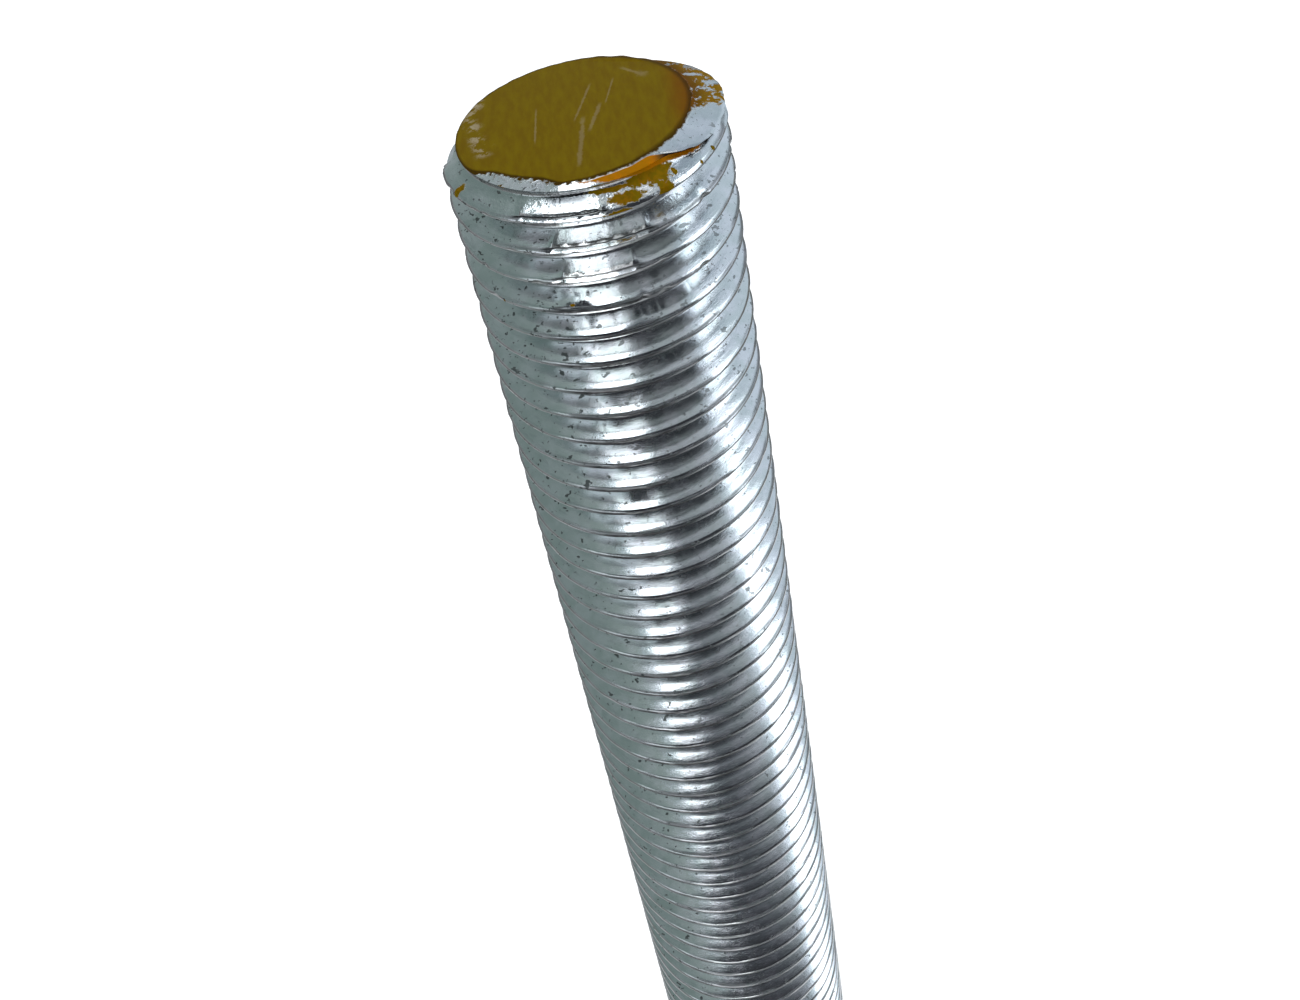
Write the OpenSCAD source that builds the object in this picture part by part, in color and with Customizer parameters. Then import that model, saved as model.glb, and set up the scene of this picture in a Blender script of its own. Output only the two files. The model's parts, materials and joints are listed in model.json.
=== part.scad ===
// Threaded rod: a right-hand metric thread from end to end, with both ends cut and chamfered.
// Millimetres. Z runs along the rod, and z = 0 is the lower cut, on the rod's axis.

/* [Rod] */
// Diameter over the thread crests
thread_d = 24; // [16:1:36]
// Advance of the thread in one turn
pitch = 3; // [2:0.25:4]
// Length on the axis, between the two cuts
rod_l = 200; // [60:5:300]

/* [Ends] */
// How far the chamfer of both ends cuts in from the crests
chamfer = 2.1; // [1:0.1:3]
// Slope of both chamfers against their cut face, in degrees
chamfer_slope = 35; // [20:5:45]
// Lean of the upper cut out of square, in degrees
cut_lean = 4.5; // [0:0.5:6]
// Side that the upper cut leans to, in degrees from +X
lean_side = 130; // [0:5:355]
// How far the upper chamfer sits off the axis, towards -X
chamfer_shift = 0.7; // [0:0.1:1]
// Side on which the crest meets the upper cut, in degrees from +X
crest_side = 115; // [0:5:355]

/* [Hidden] */
$fn = 96;

// ISO metric thread form: flanks at 30 degrees to a square cut, crest an eighth of the pitch
flank_angle = 30;
crest_w = pitch / 8;
thread_depth = 0.6134 * pitch;
flank_w = thread_depth * tan(flank_angle);
root_w = pitch - crest_w - 2 * flank_w;
crest_r = thread_d / 2;
root_r = crest_r - thread_depth;

// One pitch of the section from the root upwards, as [radius, height above the start]
section = [
  [root_r, 0],
  [root_r, root_w],
  [crest_r, root_w + flank_w],
  [crest_r, root_w + flank_w + crest_w]
];
corners = len(section);
crest_mid = root_w + flank_w + crest_w / 2;

// The thread starts below the lower cut and ends above the upper one
turns_below = ceil(rod_l / pitch) + 1;
turns = turns_below + 3;
start_z = rod_l - crest_mid - pitch * (turns_below + crest_side / 360);

// Steps in a turn: a multiple of 4, as many as the triangle budget allows
triangle_budget = 12000;
most_steps = 36;
steps = 4 * floor(min(most_steps, triangle_budget / (2 * corners * turns)) / 4);
rows = turns * steps;

// Row i is the section at step i, and past the last row only its lower root corner goes on
function helix_point(i, j) =
  let (angle = 360 * i / steps, r = section[j][0])
  [r * cos(angle), r * sin(angle), start_z + pitch * i / steps + section[j][1]];
function index(i, j) = i <= rows ? i * corners + j : (rows + 1) * corners + i - rows - 1;
// The corner above the last one of a row is the first corner one turn further on
function above(i, j) = j < corners - 1 ? index(i, j + 1) : index(i + steps, 0);

thread_points = concat(
  [for (i = [0 : rows], j = [0 : corners - 1]) helix_point(i, j)],
  [for (i = [rows + 1 : rows + steps]) helix_point(i, 0)],
  [[0, 0, start_z], [0, 0, start_z + pitch * (turns + 1)]]
);
foot = (rows + 1) * corners + steps;
head = foot + 1;

helix_faces = [
  for (i = [0 : rows - 1], j = [0 : corners - 1])
    each [[index(i, j), above(i, j), above(i + 1, j)], [index(i, j), above(i + 1, j), index(i + 1, j)]]
];
foot_faces = concat(
  [for (i = [0 : steps - 1]) [index(i, 0), index(i + 1, 0), foot]],
  [for (j = [0 : corners - 1]) [foot, above(0, j), index(0, j)]]
);
head_faces = concat(
  [for (i = [rows : rows + steps - 1]) [index(i + 1, 0), index(i, 0), head]],
  [for (j = [0 : corners - 1]) [head, index(rows, j), above(rows, j)]]
);

module endless_thread() {
  polyhedron(thread_points, concat(helix_faces, foot_faces, head_faces), convexity = 10);
}

// What a cut and its chamfer leave: a flat face at z = 0 that widens upwards
module above_cut() {
  reach = 2 * rod_l;
  face_r = crest_r - chamfer;
  cylinder(h = reach, r1 = face_r, r2 = face_r + reach / tan(chamfer_slope));
}

module threaded_rod() {
  color([0.74, 0.78, 0.80])
    intersection() {
      endless_thread();
      above_cut();
      translate([-chamfer_shift, 0, rod_l])
        rotate([0, cut_lean, lean_side])
          mirror([0, 0, 1])
            above_cut();
    }
}

threaded_rod();
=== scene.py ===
import json
import math

import bmesh
import bpy
from mathutils import Matrix, Vector, noise


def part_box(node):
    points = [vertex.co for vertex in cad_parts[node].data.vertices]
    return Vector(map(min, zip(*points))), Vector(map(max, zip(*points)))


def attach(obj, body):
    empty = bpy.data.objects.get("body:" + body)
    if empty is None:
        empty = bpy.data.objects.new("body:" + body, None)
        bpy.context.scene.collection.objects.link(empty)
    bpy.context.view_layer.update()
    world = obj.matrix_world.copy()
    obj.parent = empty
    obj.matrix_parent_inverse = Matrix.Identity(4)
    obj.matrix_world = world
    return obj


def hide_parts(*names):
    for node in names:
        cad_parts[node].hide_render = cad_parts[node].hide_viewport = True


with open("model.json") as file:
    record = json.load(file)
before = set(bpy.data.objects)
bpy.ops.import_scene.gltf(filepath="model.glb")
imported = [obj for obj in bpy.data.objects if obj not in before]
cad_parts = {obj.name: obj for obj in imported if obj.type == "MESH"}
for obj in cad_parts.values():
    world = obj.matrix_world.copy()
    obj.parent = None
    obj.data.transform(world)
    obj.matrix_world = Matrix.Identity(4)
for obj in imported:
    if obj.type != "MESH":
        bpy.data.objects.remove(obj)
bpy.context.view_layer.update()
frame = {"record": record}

# ---------------------------------------------------------------- sizes, in metres
MM = 0.001
low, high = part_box("threaded_rod")
mounts = {mount["name"]: mount for mount in frame["record"]["mounts"]}
CREST_R = (high.x - low.x) / 2
CUT_CENTRE = Vector(mounts["painted_end"]["pos_m"])
CUT_NORMAL = Vector(mounts["painted_end"]["axis"]).normalized()
ROD_L = CUT_CENTRE.z

PITCH = 3 * MM
CREST_SIDE = math.radians(115)
DEPTH = 0.6134 * PITCH
CHAMFER = 2.1 * MM
CHAMFER_SLOPE = math.radians(35)

# Sides are degrees round the rod from -Y, the front, towards +X. Crests count down from the cut.
FRONT = math.radians(270)
# Crests that blows have split into two ridges: crest, from side, to side, how far
BRUISES = [(1, -33, 6, 1.0), (2, -23, 22, 0.9), (3, -21, 15, 0.8), (4, -24, -6, 0.5), (5, 2, 16, 0.4)]
# A split crest: the degrees in which it fades out, and how deep its groove and upper ridge lie, in pitches
BRUISE_FADE = 5
GROOVE = 0.15
UPPER_RIDGE = 0.06
# The depths of the nicks, in pitches: on the crests near the cut, down to this number, and on the others
LAST_NEAR_CUT = 5
NICKS_NEAR_CUT = 0.22
NICKS_BELOW = 0.07

# Columns in a turn. The uppermost turns carry the damage, and each of their columns is split further.
COLUMNS = 80
FINE = 3
FINE_TURNS = 5
# The steps round each ring of the cutter
RING_STEPS = 240
# Edges sharper than this stay sharp in the shading
SHARP = math.radians(33)


# ---------------------------------------------------------------- the thread
def section():
    """One pitch of the worn section, from a root upwards, as (height, depth) in pitches from the crest."""
    deepest, root_round = DEPTH / PITCH, 0.1443
    root = [
        (root_round * math.sin(a) - 0.5, deepest - root_round * (1 - math.cos(a)))
        for a in (0, math.radians(30), math.radians(60))
    ]
    lower_edge = [(-0.042, 0.026), (-0.030, 0.012), (-0.014, 0.003), (0.005, 0)]
    worn_shoulder = [(0.022, 0.005), (0.068, 0.031), (0.108, 0.065), (0.116, 0.076)]
    flank_end = [(-height, depth) for height, depth in reversed(root[1:])]
    flank_middle = tuple((worn_shoulder[-1][i] + flank_end[0][i]) / 2 for i in (0, 1))
    return root + lower_edge + worn_shoulder + [flank_middle] + flank_end


def battered(side, crest, height, depth):
    """The depth of a section's point, in pitches, after the nicks and blows of use."""
    nick = noise.noise(Vector((side / 5, crest * 7.3, 1.7))) - 0.25
    depth = max(depth, (NICKS_NEAR_CUT if crest <= LAST_NEAR_CUT else NICKS_BELOW) * nick)
    for number, start, end, force in BRUISES:
        inside = min(side - start, end - side) / BRUISE_FADE
        if crest != number or inside <= 0:
            continue
        force *= min(1, inside) * (0.85 + 0.5 * noise.noise(Vector((side / 2.5, crest, 0))))
        if 0.06 < height < 0.13:
            depth += (GROOVE - depth) * force
        elif 0.2 < height < 0.3:
            depth += (UPPER_RIDGE - depth) * force
        elif depth < 0.05:
            depth += 0.03 * force
    return depth


def endless_thread():
    """A closed bar with the helix on it, longer than the rod at both ends."""
    rows = section()
    per_turn = len(rows)
    turns = math.ceil(ROD_L / PITCH) + 3
    start = ROD_L - PITCH * (turns - 1 + CREST_SIDE / math.tau)
    columns = COLUMNS * FINE
    fine_row = per_turn * (turns - FINE_TURNS)
    last_row = per_turn * turns - 1
    mesh = bmesh.new()
    grid = {}

    def place(column, row):
        angle = math.tau * column / columns
        height, depth = rows[row % per_turn]
        crest_z = start + PITCH * (row // per_turn + column / columns)
        side = math.degrees((angle - FRONT + math.pi) % math.tau - math.pi)
        crest = round((ROD_L - crest_z) / PITCH + (angle - CREST_SIDE) / math.tau)
        radius = CREST_R - PITCH * battered(side, crest, height, depth)
        return Vector((radius * math.cos(angle), radius * math.sin(angle), crest_z + height * PITCH))

    def corner(column, row):
        if column == columns:
            column, row = 0, row + per_turn
        if (column, row) not in grid:
            grid[column, row] = mesh.verts.new(place(column, row))
        return grid[column, row]

    def add_face(*places):
        mesh.faces.new([corner(column, row) for column, row in places])

    for column in range(0, columns, FINE):
        after = column + FINE
        for row in range(last_row):
            if row >= fine_row:
                for c in range(column, after):
                    add_face((c, row), (c + 1, row), (c + 1, row + 1), (c, row + 1))
            else:
                upper = range(after, column - 1, -1 if row + 1 == fine_row else -FINE)
                add_face((column, row), (after, row), *((c, row + 1) for c in upper))
    # The fans that close the foot and the head go round the open edge once
    foot_loop = [corner(c, 0) for c in range(0, columns, FINE)]
    foot_loop += [corner(0, row) for row in range(per_turn, 0, -1)]
    head_loop = [corner(c, last_row) for c in range(columns)]
    head_loop += [corner(0, row) for row in range(last_row + per_turn, last_row, -1)]
    foot = mesh.verts.new((0, 0, start - PITCH))
    head = mesh.verts.new((0, 0, start + PITCH * (turns + 1)))
    for loop, tip in ((foot_loop, foot), (head_loop, head)):
        for a, b in zip(loop, loop[1:] + loop[:1]):
            mesh.faces.new((a, b, tip) if tip is head else (b, a, tip))
    bmesh.ops.recalc_face_normals(mesh, faces=mesh.faces)
    return mesh


def bump_between(value, start, end, soft):
    """1 between start and end, and 0 farther than soft outside them."""
    outside = max(start - value, value - end, 0) / soft
    return 0.5 + 0.5 * math.cos(math.pi * min(1, outside))


def ring(mesh, place, radius, height, ragged=0.0):
    """One ring of the cutter. Radius and height are numbers, or functions of the side."""
    made = []
    for i in range(RING_STEPS):
        a = math.tau * i / RING_STEPS
        side = (math.degrees(a) - 90) % 360 - 180
        r = radius(side) if callable(radius) else radius
        z = height(side) if callable(height) else height
        r += ragged * noise.noise(Vector((9 * math.cos(a), 9 * math.sin(a), z / MM)))
        made.append(mesh.verts.new(place @ Vector((r * math.cos(a), r * math.sin(a), z))))
    return made


def skin(mesh, loops):
    """A closed skin over loops of as many points each."""
    for here, there in zip(loops, loops[1:]):
        for i in range(len(here)):
            j = (i + 1) % len(here)
            mesh.faces.new((here[i], here[j], there[j], there[i]))
    mesh.faces.new(reversed(loops[0]))
    mesh.faces.new(loops[-1])
    bmesh.ops.recalc_face_normals(mesh, faces=mesh.faces)


def cut_bar():
    """What both cuts and their chamfers leave of a plain bar."""
    mesh = bmesh.new()
    lower = Matrix.Identity(4)
    lean = Vector((0, 0, 1)).rotation_difference(CUT_NORMAL).to_matrix().to_4x4()
    upper = Matrix.Translation(CUT_CENTRE) @ lean
    face_r = CREST_R - CHAMFER
    beyond = CHAMFER + 2 * MM
    drop = beyond * math.tan(CHAMFER_SLOPE)

    def edge(outwards):
        """Radius of the cut's edge, which hammer blows took off in front."""
        return lambda side: face_r + (outwards - 1.05 * bump_between(side, -46, -22, 17)) * MM

    def steep(usual, left):
        """A measure of the chamfer, which is steeper on the left."""
        return lambda side: (usual + (left - usual) * bump_between(side, -128, -95, 15)) * MM

    widen = steep(0.6, 0.5)
    skin(mesh, [
        ring(mesh, lower, face_r, 0),
        ring(mesh, lower, face_r + beyond, drop),
        ring(mesh, upper, face_r + beyond, -drop, ragged=0.2 * MM),
        ring(mesh, upper, lambda side: face_r + widen(side), steep(-0.45, -2.0), ragged=0.1 * MM),
        ring(mesh, upper, edge(0.1), -0.1 * MM, ragged=0.15 * MM),
        ring(mesh, upper, edge(-0.15), -0.02 * MM, ragged=0.1 * MM),
        ring(mesh, upper, edge(-0.4), 0),
    ])
    return mesh


def thread_stump():
    """The ledge that is left of the first turn beside the cut. It runs out into the rod at both ends."""
    mesh = bmesh.new()
    start, end = 30, 142
    grows_in, fades_in = 32, 50
    sections = []
    for side in range(start, end + 1, 2):
        grown = min(1, (side - start) / grows_in, (end - side) / fades_in)
        grown = grown * (2 - grown) + 0.05 * noise.noise(Vector((side / 4, 0, 3)))
        angle = FRONT + math.radians(side)
        edge_r, edge_drop = 9.2 + 2.6 * grown, 0.1 + 0.75 * grown
        # Radius and drop below the cut, in millimetres: out along the top, and back under the lip
        profile = [
            (8.6, 0.12), (8.9, 0.09), (edge_r - 0.25, edge_drop - 0.14), (edge_r, edge_drop + 0.02),
            (edge_r - 0.35, edge_drop + 0.3), (9.0, edge_drop + 0.75),
        ]
        line = []
        for r, drop in profile:
            out = Vector((r * math.cos(angle), r * math.sin(angle), 0)) * MM
            lean = CUT_NORMAL.dot(out - CUT_CENTRE * Vector((1, 1, 0))) / CUT_NORMAL.z
            line.append(mesh.verts.new(out + Vector((0, 0, ROD_L - lean - drop * MM))))
        sections.append(line)
    skin(mesh, sections)
    return mesh


def to_object(mesh, name):
    data = bpy.data.meshes.new(name)
    mesh.to_mesh(data)
    mesh.free()
    made = bpy.data.objects.new(name, data)
    bpy.context.scene.collection.objects.link(made)
    return made


def make_rod():
    """The bar with its thread, cut to length, with the ledge beside its upper cut."""
    rod = to_object(endless_thread(), "rolled_thread_rod")
    tools = [("INTERSECT", to_object(cut_bar(), "cutter")), ("UNION", to_object(thread_stump(), "stump"))]
    for operation, tool in tools:
        step = rod.modifiers.new(tool.name, "BOOLEAN")
        step.operation = operation
        step.solver = "MANIFOLD"
        step.object = tool
    dg = bpy.context.evaluated_depsgraph_get()
    trimmed = bpy.data.meshes.new_from_object(rod.evaluated_get(dg))
    rod.modifiers.clear()
    rod.data = trimmed
    for _, tool in tools:
        bpy.data.objects.remove(tool)
    mesh = bmesh.new()
    mesh.from_mesh(trimmed)
    for edge in mesh.edges:
        edge.smooth = len(edge.link_faces) == 2 and edge.calc_face_angle(0) < SHARP
    for face in mesh.faces:
        face.smooth = True
    mesh.to_mesh(trimmed)
    mesh.free()
    return rod


# ---------------------------------------------------------------- materials
class Nodes:
    """Short names for making and linking shader nodes."""

    def __init__(self, tree):
        self.tree = tree
        tree.nodes.clear()

    def add(self, kind, **settings):
        node = self.tree.nodes.new(kind)
        for name, value in settings.items():
            setattr(node, name, value)
        return node

    def feed(self, socket, value):
        if isinstance(value, bpy.types.NodeSocket):
            self.tree.links.new(value, socket)
        else:
            socket.default_value = value

    def fed(self, kind, given, **settings):
        """A new node whose inputs are fed by name."""
        node = self.add(kind, **settings)
        for name, value in given.items():
            self.feed(node.inputs[name], value)
        return node

    def math(self, operation, a, b=0.0, c=0.0, clamp=False):
        node = self.add("ShaderNodeMath", operation=operation, use_clamp=clamp)
        for socket, value in zip(node.inputs, (a, b, c)):
            self.feed(socket, value)
        return node.outputs[0]

    def minus(self, a, b):
        return self.math("SUBTRACT", a, b)

    def chain(self, operation, values):
        result = values[0]
        for value in values[1:]:
            result = self.math(operation, result, value)
        return result

    def total(self, *values):
        return self.chain("ADD", values)

    def times(self, *values):
        return self.chain("MULTIPLY", values)

    def most(self, *values):
        return self.chain("MAXIMUM", values)

    def ramp(self, value, start, end, low=0.0, high=1.0):
        """Rises smoothly from low to high while value goes from start to end."""
        given = {"Value": value, "From Min": start, "From Max": end, "To Min": low, "To Max": high}
        return self.fed("ShaderNodeMapRange", given, interpolation_type="SMOOTHSTEP").outputs["Result"]

    def window(self, value, start, end, soft, soft_end=None):
        """1 between start and end, and 0 outside."""
        soft_end = soft if soft_end is None else soft_end
        rise = self.ramp(value, start - soft, start + soft)
        return self.times(rise, self.ramp(value, end - soft_end, end + soft_end, 1.0, 0.0))

    def mix(self, factor, a, b):
        given = {"Factor": factor, "A": a, "B": b}
        return self.fed("ShaderNodeMix", given, data_type="RGBA").outputs["Result"]

    def mix_value(self, factor, a, b):
        given = {"Factor": factor, "A": a, "B": b}
        return self.fed("ShaderNodeMix", given, data_type="FLOAT").outputs["Result"]

    def vector(self, x, y, z):
        node = self.add("ShaderNodeCombineXYZ")
        for socket, value in zip(node.inputs, (x, y, z)):
            self.feed(socket, value)
        return node.outputs[0]

    def parts(self, vector):
        node = self.add("ShaderNodeSeparateXYZ")
        self.feed(node.inputs[0], vector)
        return node.outputs

    def side(self, x, y):
        """Degrees round Z from -Y, the front, towards +X."""
        return self.times(self.math("ARCTAN2", x, self.times(y, -1.0)), 180 / math.pi)

    def reach(self, a, b):
        """How far the point a, b lies from 0, 0."""
        return self.math("SQRT", self.total(self.times(a, a), self.times(b, b)))

    def noise(self, place, scale, detail=2.0, rough=0.5):
        given = {"Vector": place, "Scale": scale, "Detail": detail, "Roughness": rough}
        return self.fed("ShaderNodeTexNoise", given, noise_dimensions="3D").outputs["Fac"]


def rgb(r, g, b):
    """A colour given as it shows on a screen, 0 to 255, for a shader."""
    linear = []
    for part in (r, g, b):
        s = part / 255
        linear.append(s / 12.92 if s <= 0.04045 else ((s + 0.055) / 1.055) ** 2.4)
    return (*linear, 1.0)


def level(r, g, b):
    """A colour given as plain amounts of light."""
    return (r, g, b, 1)


class RodPlaces:
    """Where a shaded point lies on the rod: millimetres, degrees of side, and pitches from its crest."""

    def __init__(self, n):
        scaled = n.add("ShaderNodeVectorMath", operation="SCALE")
        n.feed(scaled.inputs[0], n.add("ShaderNodeTexCoord").outputs["Object"])
        n.feed(scaled.inputs["Scale"], 1 / MM)
        self.point = scaled.outputs["Vector"]
        self.x, self.y, self.z = n.parts(self.point)
        self.side = n.side(self.x, self.y)
        pitch, rod_l = PITCH / MM, ROD_L / MM
        # The same all along the crest, and one pitch more at the next
        self.climb = n.minus(self.z, n.times(self.side, pitch / 360))
        start = rod_l + pitch * (FRONT - CREST_SIDE) / math.tau
        phase = n.times(n.minus(self.climb, start), 1 / pitch)
        # Pitches above the nearest crest, and that crest's number
        self.crest = n.math("WRAP", phase, 0.5, -0.5)
        self.number = n.minus(self.crest, phase)
        # How far above the cut, along its normal
        dot = n.add("ShaderNodeVectorMath", operation="DOT_PRODUCT")
        n.feed(dot.inputs[0], self.point)
        n.feed(dot.inputs[1], CUT_NORMAL)
        self.over_cut = n.minus(dot.outputs["Value"], CUT_CENTRE.dot(CUT_NORMAL) / MM)

        # Unevenness that several looks share: drawn out along the thread, and in all directions
        self.along = n.vector(n.times(self.x, 0.12), n.times(self.y, 0.12), self.climb)
        self.streaks = n.noise(self.along, 5.0, 4.0, 0.65)
        self.blotches = n.noise(self.point, 0.45, 3.0, 0.55)
        self.ragged = n.noise(self.point, 2.2, 3.0, 0.6)
        self.grain = n.noise(self.point, 9.0, 2.0, 0.6)
        self.mottle = n.noise(self.point, 0.7, 4.0, 0.7)
        # How far lines along the crest wander up and down, in pitches
        self.waver = n.times(n.minus(n.noise(self.along, 0.9, 3.0, 0.6), 0.5), 0.09)
        self.line = n.total(self.crest, n.times(self.waver, 0.3))


def spot(n, at, side, z, wide, high):
    """A ragged round spot on the rod's side, in degrees and millimetres."""
    across = n.times(n.minus(at.side, side), math.radians(1) * CREST_R / MM / wide * 2)
    up = n.times(n.minus(at.z, z), 2 / high)
    return n.ramp(n.total(n.reach(across, up), n.times(n.minus(at.ragged, 0.5), 1.6)), 1.1, 0.8)


def scratch(n, at, start, end, width):
    """A ragged line on the painted face from one x, y to another, in millimetres."""
    (x0, y0), (x1, y1) = start, end
    length = math.hypot(x1 - x0, y1 - y0)
    ux, uy = (x1 - x0) / length, (y1 - y0) / length
    dx, dy = n.minus(at.x, x0), n.minus(at.y, y0)
    along = n.total(n.times(dx, ux), n.times(dy, uy))
    beside = n.math("ABSOLUTE", n.minus(n.times(dx, uy), n.times(dy, ux)))
    beside = n.total(beside, n.times(n.minus(at.ragged, 0.5), width * 1.5))
    return n.times(n.ramp(beside, width * 0.8, width * 0.15), n.window(along, 0, length, 0.5))


# Pale scratches on the face: from x, y to x, y, and the width
SCRATCHES = [
    ((1.7, 1.1), (0.6, -2.7), 0.3),
    ((0.2, -0.6), (-0.6, -7.7), 0.35),
    ((1.1, 4.7), (-0.5, -0.6), 0.2),
    ((4.0, 6.4), (5.6, 4.5), 0.3),
    ((5.3, 5.0), (5.8, 4.3), 0.7),
    ((-3.6, 2.4), (-3.9, -2.8), 0.15),
    ((3.1, 4.8), (2.2, 1.2), 0.15),
]
# Places along the left rim where the paint is worn thin
WORN = [
    ((-8.3, 7.0), (-9.4, 2.8), 1.2),
    ((-9.2, 3.0), (-8.1, -3.2), 1.3),
    ((-8.6, -0.2), (-7.7, -2.2), 1.0),
]
# Drips and specks of paint: side, z, width, height
SPOTS = [
    (8, 199.5, 4.5, 0.3), (13, 199.0, 3.2, 0.6), (9, 198.2, 2.4, 0.7), (22, 199.6, 3.0, 0.7),
    (29, 199.6, 3.4, 1.1), (29, 198.7, 1.4, 1.3), (-65, 198.1, 0.8, 0.8), (-42, 199.7, 1.0, 0.3),
    (67, 188.9, 1.0, 0.3), (60, 176.6, 0.35, 0.45), (66, 161.3, 0.9, 0.6), (-47, 188.9, 0.35, 0.3),
    (-16, 189.6, 0.6, 0.25), (36, 199.3, 0.5, 0.4), (48, 198.9, 0.35, 0.35), (57, 199.0, 0.35, 0.35),
]


def painted_face(n, at, uneven):
    """The face of the cut, and how far over its edge the paint reaches, which is most at the back."""
    back = n.minus(1.0, n.window(at.side, -84, 158, 6))
    reach = n.total(0.12, n.times(back, 0.75), n.times(n.window(at.side, -84, -62, 6), 0.4))
    return n.ramp(n.total(at.over_cut, reach, uneven), -0.05, 0.05)


def paint_run(n, at, uneven):
    """The thick run below the edge in front, which slants down to the right."""
    top = n.ramp(at.side, 28, 48, 0.12, 0.86)
    reach = n.total(n.ramp(at.side, -6, 24, 0.15, 0.95), n.ramp(at.side, 28, 54, 0, 0.5))
    run = n.ramp(n.total(at.over_cut, reach, uneven), -0.06, 0.06)
    return n.times(run, n.ramp(n.total(at.over_cut, top), 0.02, -0.06), n.window(at.side, -7, 55, 2))


def paint_on_ledge(n, at):
    """What is left of the paint on the ledge and the chamfer on the right."""
    left = n.ramp(n.total(n.noise(at.point, 1.0, 4.0, 0.7), n.times(at.over_cut, 0.2)), 0.33, 0.39)
    ragged_side = n.total(at.side, n.times(at.over_cut, 14), n.times(at.ragged, 26))
    return n.times(left, n.window(ragged_side, 84, 183, 3), n.window(at.over_cut, -1.7, -0.06, 0.3, 0.03))


def painted(n, at):
    """Where the paint lies, where it is the brighter run and drips, and where it is worn or scratched."""
    below_face, calmer_right = n.ramp(at.over_cut, -0.01, -0.06), n.ramp(at.side, -10, 10, 0.5, 0.22)
    uneven = n.times(n.minus(at.ragged, 0.5), below_face, calmer_right)
    face, run, ledge = painted_face(n, at, uneven), paint_run(n, at, uneven), paint_on_ledge(n, at)
    spots = n.most(*(spot(n, at, *given) for given in SPOTS))
    scraped = n.most(*(scratch(n, at, *given) for given in SCRATCHES))
    patchy = n.ramp(n.noise(at.point, 1.1, 4.0, 0.7), 0.46, 0.56)
    worn = n.times(n.most(*(scratch(n, at, *given) for given in WORN)), patchy)
    bright = n.most(run, n.times(ledge, 0.2), n.times(spots, n.ramp(at.ragged, 0.4, 0.6), 0.2))
    return n.most(face, run, ledge, spots), bright, n.most(n.times(scraped, 0.24), n.times(worn, 0.75))


def coat_colour(n, at, bright, thin):
    """Brushed yellow paint: redder on the right, dark where it pooled at the rim, darkened by painted shade
    just below the cut's edge, and pale where it is thin.
    """
    brushed = n.noise(n.vector(at.x, n.times(at.y, 0.25), 0.0), 1.6, 4.0, 0.6)
    coat = n.mix(n.ramp(brushed, 0.3, 0.7), rgb(116, 90, 0), rgb(125, 102, 0))
    right_band = n.ramp(n.total(at.x, n.times(at.mottle, 1.2)), 7.2, 9.4)
    right_band = n.times(right_band, n.ramp(at.over_cut, -0.2, -0.1))
    # Painted shade on the chamfer just below the cut's edge
    edge = n.times(n.ramp(at.over_cut, -0.004, -0.03), n.ramp(at.over_cut, -0.5, -0.2), 0.85)
    off_centre = n.reach(n.minus(at.x, CUT_CENTRE.x / MM), at.y)
    rim = n.ramp(off_centre, 9.3, 9.75)
    rim = n.times(rim, n.ramp(at.over_cut, -0.08, -0.02), n.window(at.side, 25, 172, 15), 0.7)
    fresh = n.mix(n.ramp(at.mottle, 0.3, 0.6), rgb(206, 122, 0), rgb(178, 116, 0))
    for mask, colour in (
        (n.times(right_band, 0.8), rgb(122, 70, 0)),
        (n.most(edge, rim), rgb(58, 38, 0)),
        (thin, rgb(182, 166, 136)),
        (bright, fresh),
    ):
        coat = n.mix(mask, coat, colour)
    return coat


def seam_grime_and_shade(n, at):
    """The lip that rolling left on the upper side of each crest, darkened as grime in it and as painted
    shade along it, more so from the front round to the right.
    """
    seam = n.window(n.total(at.crest, at.waver), 0.05, 0.115, 0.025)
    broken = n.ramp(n.noise(at.along, 1.7, 2.0), 0.42, 0.6)
    return n.times(seam, broken, n.ramp(n.window(at.side, -37, 150, 22), 0, 1, 0.12, 0.6))


def split_groove_shade(n, at):
    """Painted shade in the groove between the two ridges of each split crest."""
    places = []
    for number, start, end, force in BRUISES:
        this_crest = n.window(at.number, number - 0.5, number + 0.5, 0.1)
        places.append(n.times(n.window(at.side, start, end, 2), this_crest, force))
    return n.times(n.most(*places), n.window(at.line, 0.085, 0.125, 0.014))


def painted_thread_shade(n, at):
    """Painted shade along the crest lines in front and at the upper right, and deep in the thread at both
    sides.
    """
    right = n.times(n.window(at.side, 15, 80, 10), n.ramp(at.z, 150, 190), 0.9)
    deep = n.ramp(n.math("ABSOLUTE", at.crest), 0.33, 0.47)
    deep = n.times(deep, n.most(right, n.window(at.side, -110, -25, 8, 5)))
    front = n.times(n.window(at.side, -30, 22, 12), n.ramp(at.number, 3, 4))
    front = n.times(front, n.ramp(at.z, 90, 130, 0.55, 0.95))
    lines_right = n.times(n.window(at.line, -0.08, 0.006, 0.014), right)
    lines_front = n.times(n.window(at.line, -0.08, 0.055, 0.016), front)
    shade = n.most(n.times(deep, 0.7), n.most(lines_right, lines_front))
    shade = n.times(shade, n.ramp(at.streaks, 0.3, 0.55, 0.7, 1.0))
    return n.times(shade, n.ramp(at.over_cut, -0.9, -1.4))


def dark_specks(n, at):
    """Specks and short dashes along the thread, more of them near the cut and on the left."""
    dashes = n.noise(n.vector(n.times(at.x, 0.42), n.times(at.y, 0.42), at.climb), 2.4, 2.0, 0.6)
    near_cut = n.ramp(at.z, 150, 190, 0.0, 0.025)
    specks = n.ramp(n.total(n.most(at.ragged, dashes), near_cut), 0.665, 0.7)
    return n.times(specks, n.ramp(n.window(at.side, -150, -10, 20), 0, 1, 0.55, 0.85))


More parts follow.
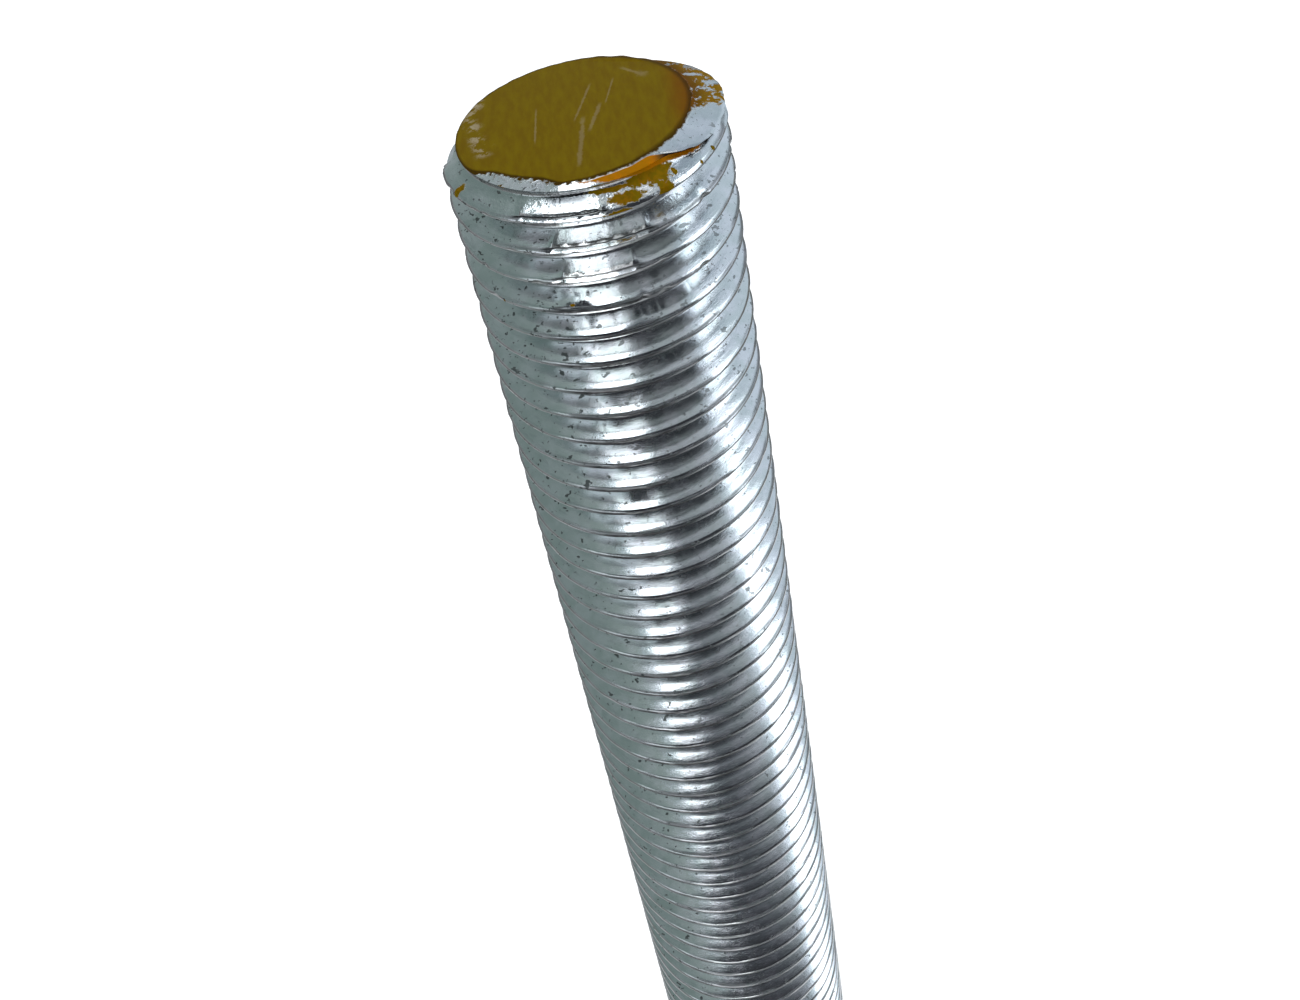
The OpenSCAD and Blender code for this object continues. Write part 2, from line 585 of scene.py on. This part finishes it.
def bare_metal(n, at):
    """The colour of the zinc, its seam, and where a stain or painted shade takes the shine off."""
    seam, split, shade, specks = seam_grime_and_shade(n, at), split_groove_shade(n, at), painted_thread_shade(n, at), dark_specks(n, at)
    # Above the topmost split crest the flanks are darkened, a painted shade that keeps the overhead light
    # off them
    flank_shade = n.times(n.window(at.side, -20, 0, 5), n.window(at.number, 0.5, 1.5, 0.1))
    flank_shade = n.times(flank_shade, n.ramp(at.crest, 0.26, 0.36))
    metal = n.mix(n.ramp(at.blotches, 0.35, 0.65), level(0.66, 0.72, 0.73), level(0.78, 0.81, 0.85))
    # Streaks and specks are marks in the zinc; the seam is grime with painted shade; flank_shade, the split
    # grooves and the thread's shade are painted shade
    for mask, colour in (
        (n.times(n.ramp(at.streaks, 0.52, 0.72), 0.35), level(0.5, 0.52, 0.56)),
        (seam, level(0.03, 0.03, 0.033)),
        (flank_shade, level(0.13, 0.14, 0.15)),
        (split, level(0.01, 0.009, 0.01)),
        (shade, level(0.03, 0.028, 0.03)),
        (specks, level(0.05, 0.065, 0.06)),
    ):
        metal = n.mix(mask, metal, colour)
    return metal, seam, n.most(seam, shade, split, specks)


def lip_gap(n, at):
    """The shadow gap under the ledge that is left of the first turn."""
    lip_drop = n.total(at.over_cut, n.ramp(at.side, 28, 58, 0.2, 0.95))
    return n.times(n.window(lip_drop, -0.32, -0.04, 0.03), n.window(at.side, 33, 126, 5))


def surface_relief(n, at, paint, seam):
    """The normal of the fine relief: streaks, grain and dents in the metal, and an uneven coat of paint."""
    beaten = n.times(n.ramp(at.over_cut, -7, -2, 0.5, 3.5), n.window(at.side, -60, 40, 15))
    dents = n.times(at.ragged, n.most(beaten, 0.5))
    metal = n.total(n.times(at.streaks, 0.9), n.times(at.grain, 0.25), n.times(seam, -1.2), dents)
    coat = n.total(n.times(at.mottle, 1.5), n.times(at.grain, 0.3), 2.0)
    given = {"Height": n.mix_value(paint, metal, coat), "Strength": 0.6, "Distance": 0.02 * MM}
    return n.fed("ShaderNodeBump", given).outputs["Normal"]


def zinc_material():
    """Bright zinc with the marks of rolling and of use, painted shade in its thread, and the yellow paint
    over the cut end.
    """
    material = bpy.data.materials.new("zinc_and_paint")
    material.use_nodes = True
    n = Nodes(material.node_tree)
    at = RodPlaces(n)
    metal, seam, stains_and_shade = bare_metal(n, at)
    paint, bright, thin = painted(n, at)
    gap = lip_gap(n, at)
    surface = n.mix(paint, metal, coat_colour(n, at, bright, thin))
    polish = n.total(
        0.11, n.times(n.ramp(at.blotches, 0.4, 0.75), 0.08), n.times(seam, 0.3), n.times(at.streaks, 0.06)
    )
    shader = n.fed("ShaderNodeBsdfPrincipled", {
        "Specular IOR Level": 0.04,
        "Base Color": n.mix(gap, surface, level(0.02, 0.017, 0.015)),
        "Metallic": n.minus(1.0, n.most(paint, gap, n.times(stains_and_shade, 0.7))),
        "Roughness": n.mix_value(paint, polish, 0.5),
        "Normal": surface_relief(n, at, paint, seam),
    })
    n.fed("ShaderNodeOutputMaterial", {"Surface": shader.outputs[0]})
    return material


# ---------------------------------------------------------------- studio
def make_world():
    """Soft boxes round a dark room, placed by direction, and plain white for the camera."""
    world = bpy.data.worlds.new("studio")
    bpy.context.scene.world = world
    world.use_nodes = True
    n = Nodes(world.node_tree)
    x, y, z = n.parts(n.add("ShaderNodeTexCoord").outputs["Generated"])

    colour = n.mix(n.ramp(y, -0.52, -0.2), level(0.065, 0.068, 0.08), level(0.42, 0.45, 0.47))
    left_wall = n.times(n.ramp(x, -0.33, -0.38), n.ramp(y, -0.52, -0.4))
    left_light = n.mix(n.ramp(x, -0.75, -0.45), level(0.2, 0.25, 0.24), level(0.32, 0.37, 0.36))
    # The boxes' edges run aslant, so farther down the rod their images lie farther apart
    right_x = n.total(x, n.times(y, 0.5))
    right_wall = n.times(n.ramp(right_x, 0.36, 0.46), n.ramp(y, -0.5, -0.35))
    dim_behind = n.times(n.window(y, 0.02, 0.42, 0.08), n.ramp(x, 0.65, 0.57))
    dim = n.most(dim_behind, n.times(n.ramp(x, 0.5, 0.42), 0.5))
    right_light = n.mix(dim, level(0.62, 0.7, 0.78), level(0.3, 0.36, 0.42))
    lean = n.math("MULTIPLY_ADD", x, -0.7, y)
    right_box = n.times(n.window(right_x, 0.51, 0.88, 0.05, 0.1), n.ramp(y, -0.48, -0.36))
    right_box = n.times(right_box, n.ramp(lean, -0.31, -0.44))
    over_x = n.minus(x, n.times(y, 0.22))
    overhead = n.times(n.window(y, -0.38, 0.38, 0.08), n.ramp(z, 0.2, 0.4))
    over_box = n.times(overhead, n.ramp(x, -0.38, -0.32), n.ramp(over_x, 0.04, -0.04))
    over_rim = n.times(overhead, n.ramp(x, -0.47, -0.37), n.ramp(over_x, 0.09, 0.01))
    small_box = n.times(n.window(x, 0.21, 0.33, 0.03), n.window(y, -0.06, 0.13, 0.05), n.ramp(z, 0.2, 0.4))
    left_strip = n.times(n.window(x, -0.96, -0.45, 0.05), n.ramp(y, -0.32, -0.45))
    left_strip = n.times(left_strip, n.window(z, 0.12, 0.4, 0.05))
    low_panel = n.times(n.window(x, -0.6, 0.02, 0.06), n.ramp(y, -0.75, -0.8), n.ramp(z, 0.16, 0.08))
    for mask, light in (
        (left_wall, left_light),
        (right_wall, right_light),
        (right_box, level(2.3, 2.45, 2.6)),
        (over_rim, level(0.5, 0.6, 0.68)),
        (over_box, level(4.0, 4.1, 4.2)),
        (n.ramp(y, -0.5, -0.58), level(0.035, 0.035, 0.04)),
        (small_box, level(1.5, 1.5, 1.45)),
        (left_strip, level(0.8, 0.85, 0.88)),
        (n.ramp(z, 0.08, 0.02), level(0.3, 0.3, 0.3)),
        (low_panel, level(2.2, 2.2, 2.2)),
        (n.add("ShaderNodeLightPath").outputs["Is Camera Ray"], level(1, 1, 1)),
    ):
        colour = n.mix(mask, colour, light)
    background = n.fed("ShaderNodeBackground", {"Color": colour})
    n.fed("ShaderNodeOutputWorld", {"Surface": background.outputs[0]})


def floor_glow(n):
    """A painted glow on the floor that reflections see: pale near the rod, dark farther off, and a far panel
    in front.
    """
    x, y, _ = n.parts(n.add("ShaderNodeTexCoord").outputs["Object"])
    away = n.reach(x, y)
    side = n.side(x, y)
    panel = n.times(n.window(side, -33, 2, 3), n.ramp(away, 0.28, 0.36))
    beside = n.ramp(n.window(side, 35, 160, 15), 0, 1, 0.5, 1.0)
    near = n.mix_value(n.window(side, -62, 40, 14), beside, n.ramp(away, 0.05, 0.1, 0.4, 0.07))
    far = n.ramp(away, 0.17, 0.38)
    # Lightens what the upper flanks on the right of the front reflect
    right_glow = n.times(n.window(side, 6, 46, 4), n.ramp(away, 0.3, 0.5))
    right_glow = n.times(right_glow, n.ramp(away, 1.5, 0.5, 0.1, 0.6))
    return n.mix_value(panel, n.total(n.mix_value(far, near, 0.16), right_glow), 2.2)


def make_floor():
    """White for the camera, and for the metal's reflections a painted glow from floor_glow."""
    mesh = bmesh.new()
    bmesh.ops.create_grid(mesh, x_segments=4, y_segments=4, size=2.0)
    floor = to_object(mesh, "floor")
    material = bpy.data.materials.new("white_floor")
    material.use_nodes = True
    n = Nodes(material.node_tree)
    path = n.add("ShaderNodeLightPath")
    reflected = n.math("ADD", path.outputs["Is Glossy Ray"], path.outputs["Is Transmission Ray"], clamp=True)
    shader = n.fed("ShaderNodeBsdfPrincipled", {
        "Base Color": level(0.8, 0.8, 0.8),
        "Roughness": 0.9,
        "Emission Color": level(1, 1, 1),
        "Emission Strength": n.times(path.outputs["Is Camera Ray"], 0.6),
    })
    glow = n.fed("ShaderNodeEmission", {"Strength": floor_glow(n)})
    split_rays = n.add("ShaderNodeMixShader")
    for socket, value in zip(split_rays.inputs, (reflected, shader.outputs[0], glow.outputs[0])):
        n.feed(socket, value)
    n.fed("ShaderNodeOutputMaterial", {"Surface": split_rays.outputs[0]})
    floor.data.materials.append(material)


def make_camera():
    """Above and in front of the painted end, looking down along the rod."""
    data = bpy.data.cameras.new("camera")
    data.lens = 44
    data.shift_x = -0.004
    data.shift_y = -0.167
    data.clip_start = 5 * MM
    camera = bpy.data.objects.new("camera", data)
    bpy.context.scene.collection.objects.link(camera)
    below_level, roll = math.radians(38.94), math.radians(-10.13)
    place = Matrix.Translation(Vector((3.6, -109.7, 270)) * MM)
    turn = Matrix.Rotation(math.pi / 2 - below_level, 4, "X")
    camera.matrix_world = place @ turn @ Matrix.Rotation(roll, 4, "Z")
    bpy.context.scene.camera = camera


make_camera()
rod = make_rod()
rod.data.materials.clear()
rod.data.materials.append(zinc_material())
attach(rod, "root")
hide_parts("threaded_rod")
make_world()
make_floor()
bpy.context.scene.view_settings.view_transform = "Standard"
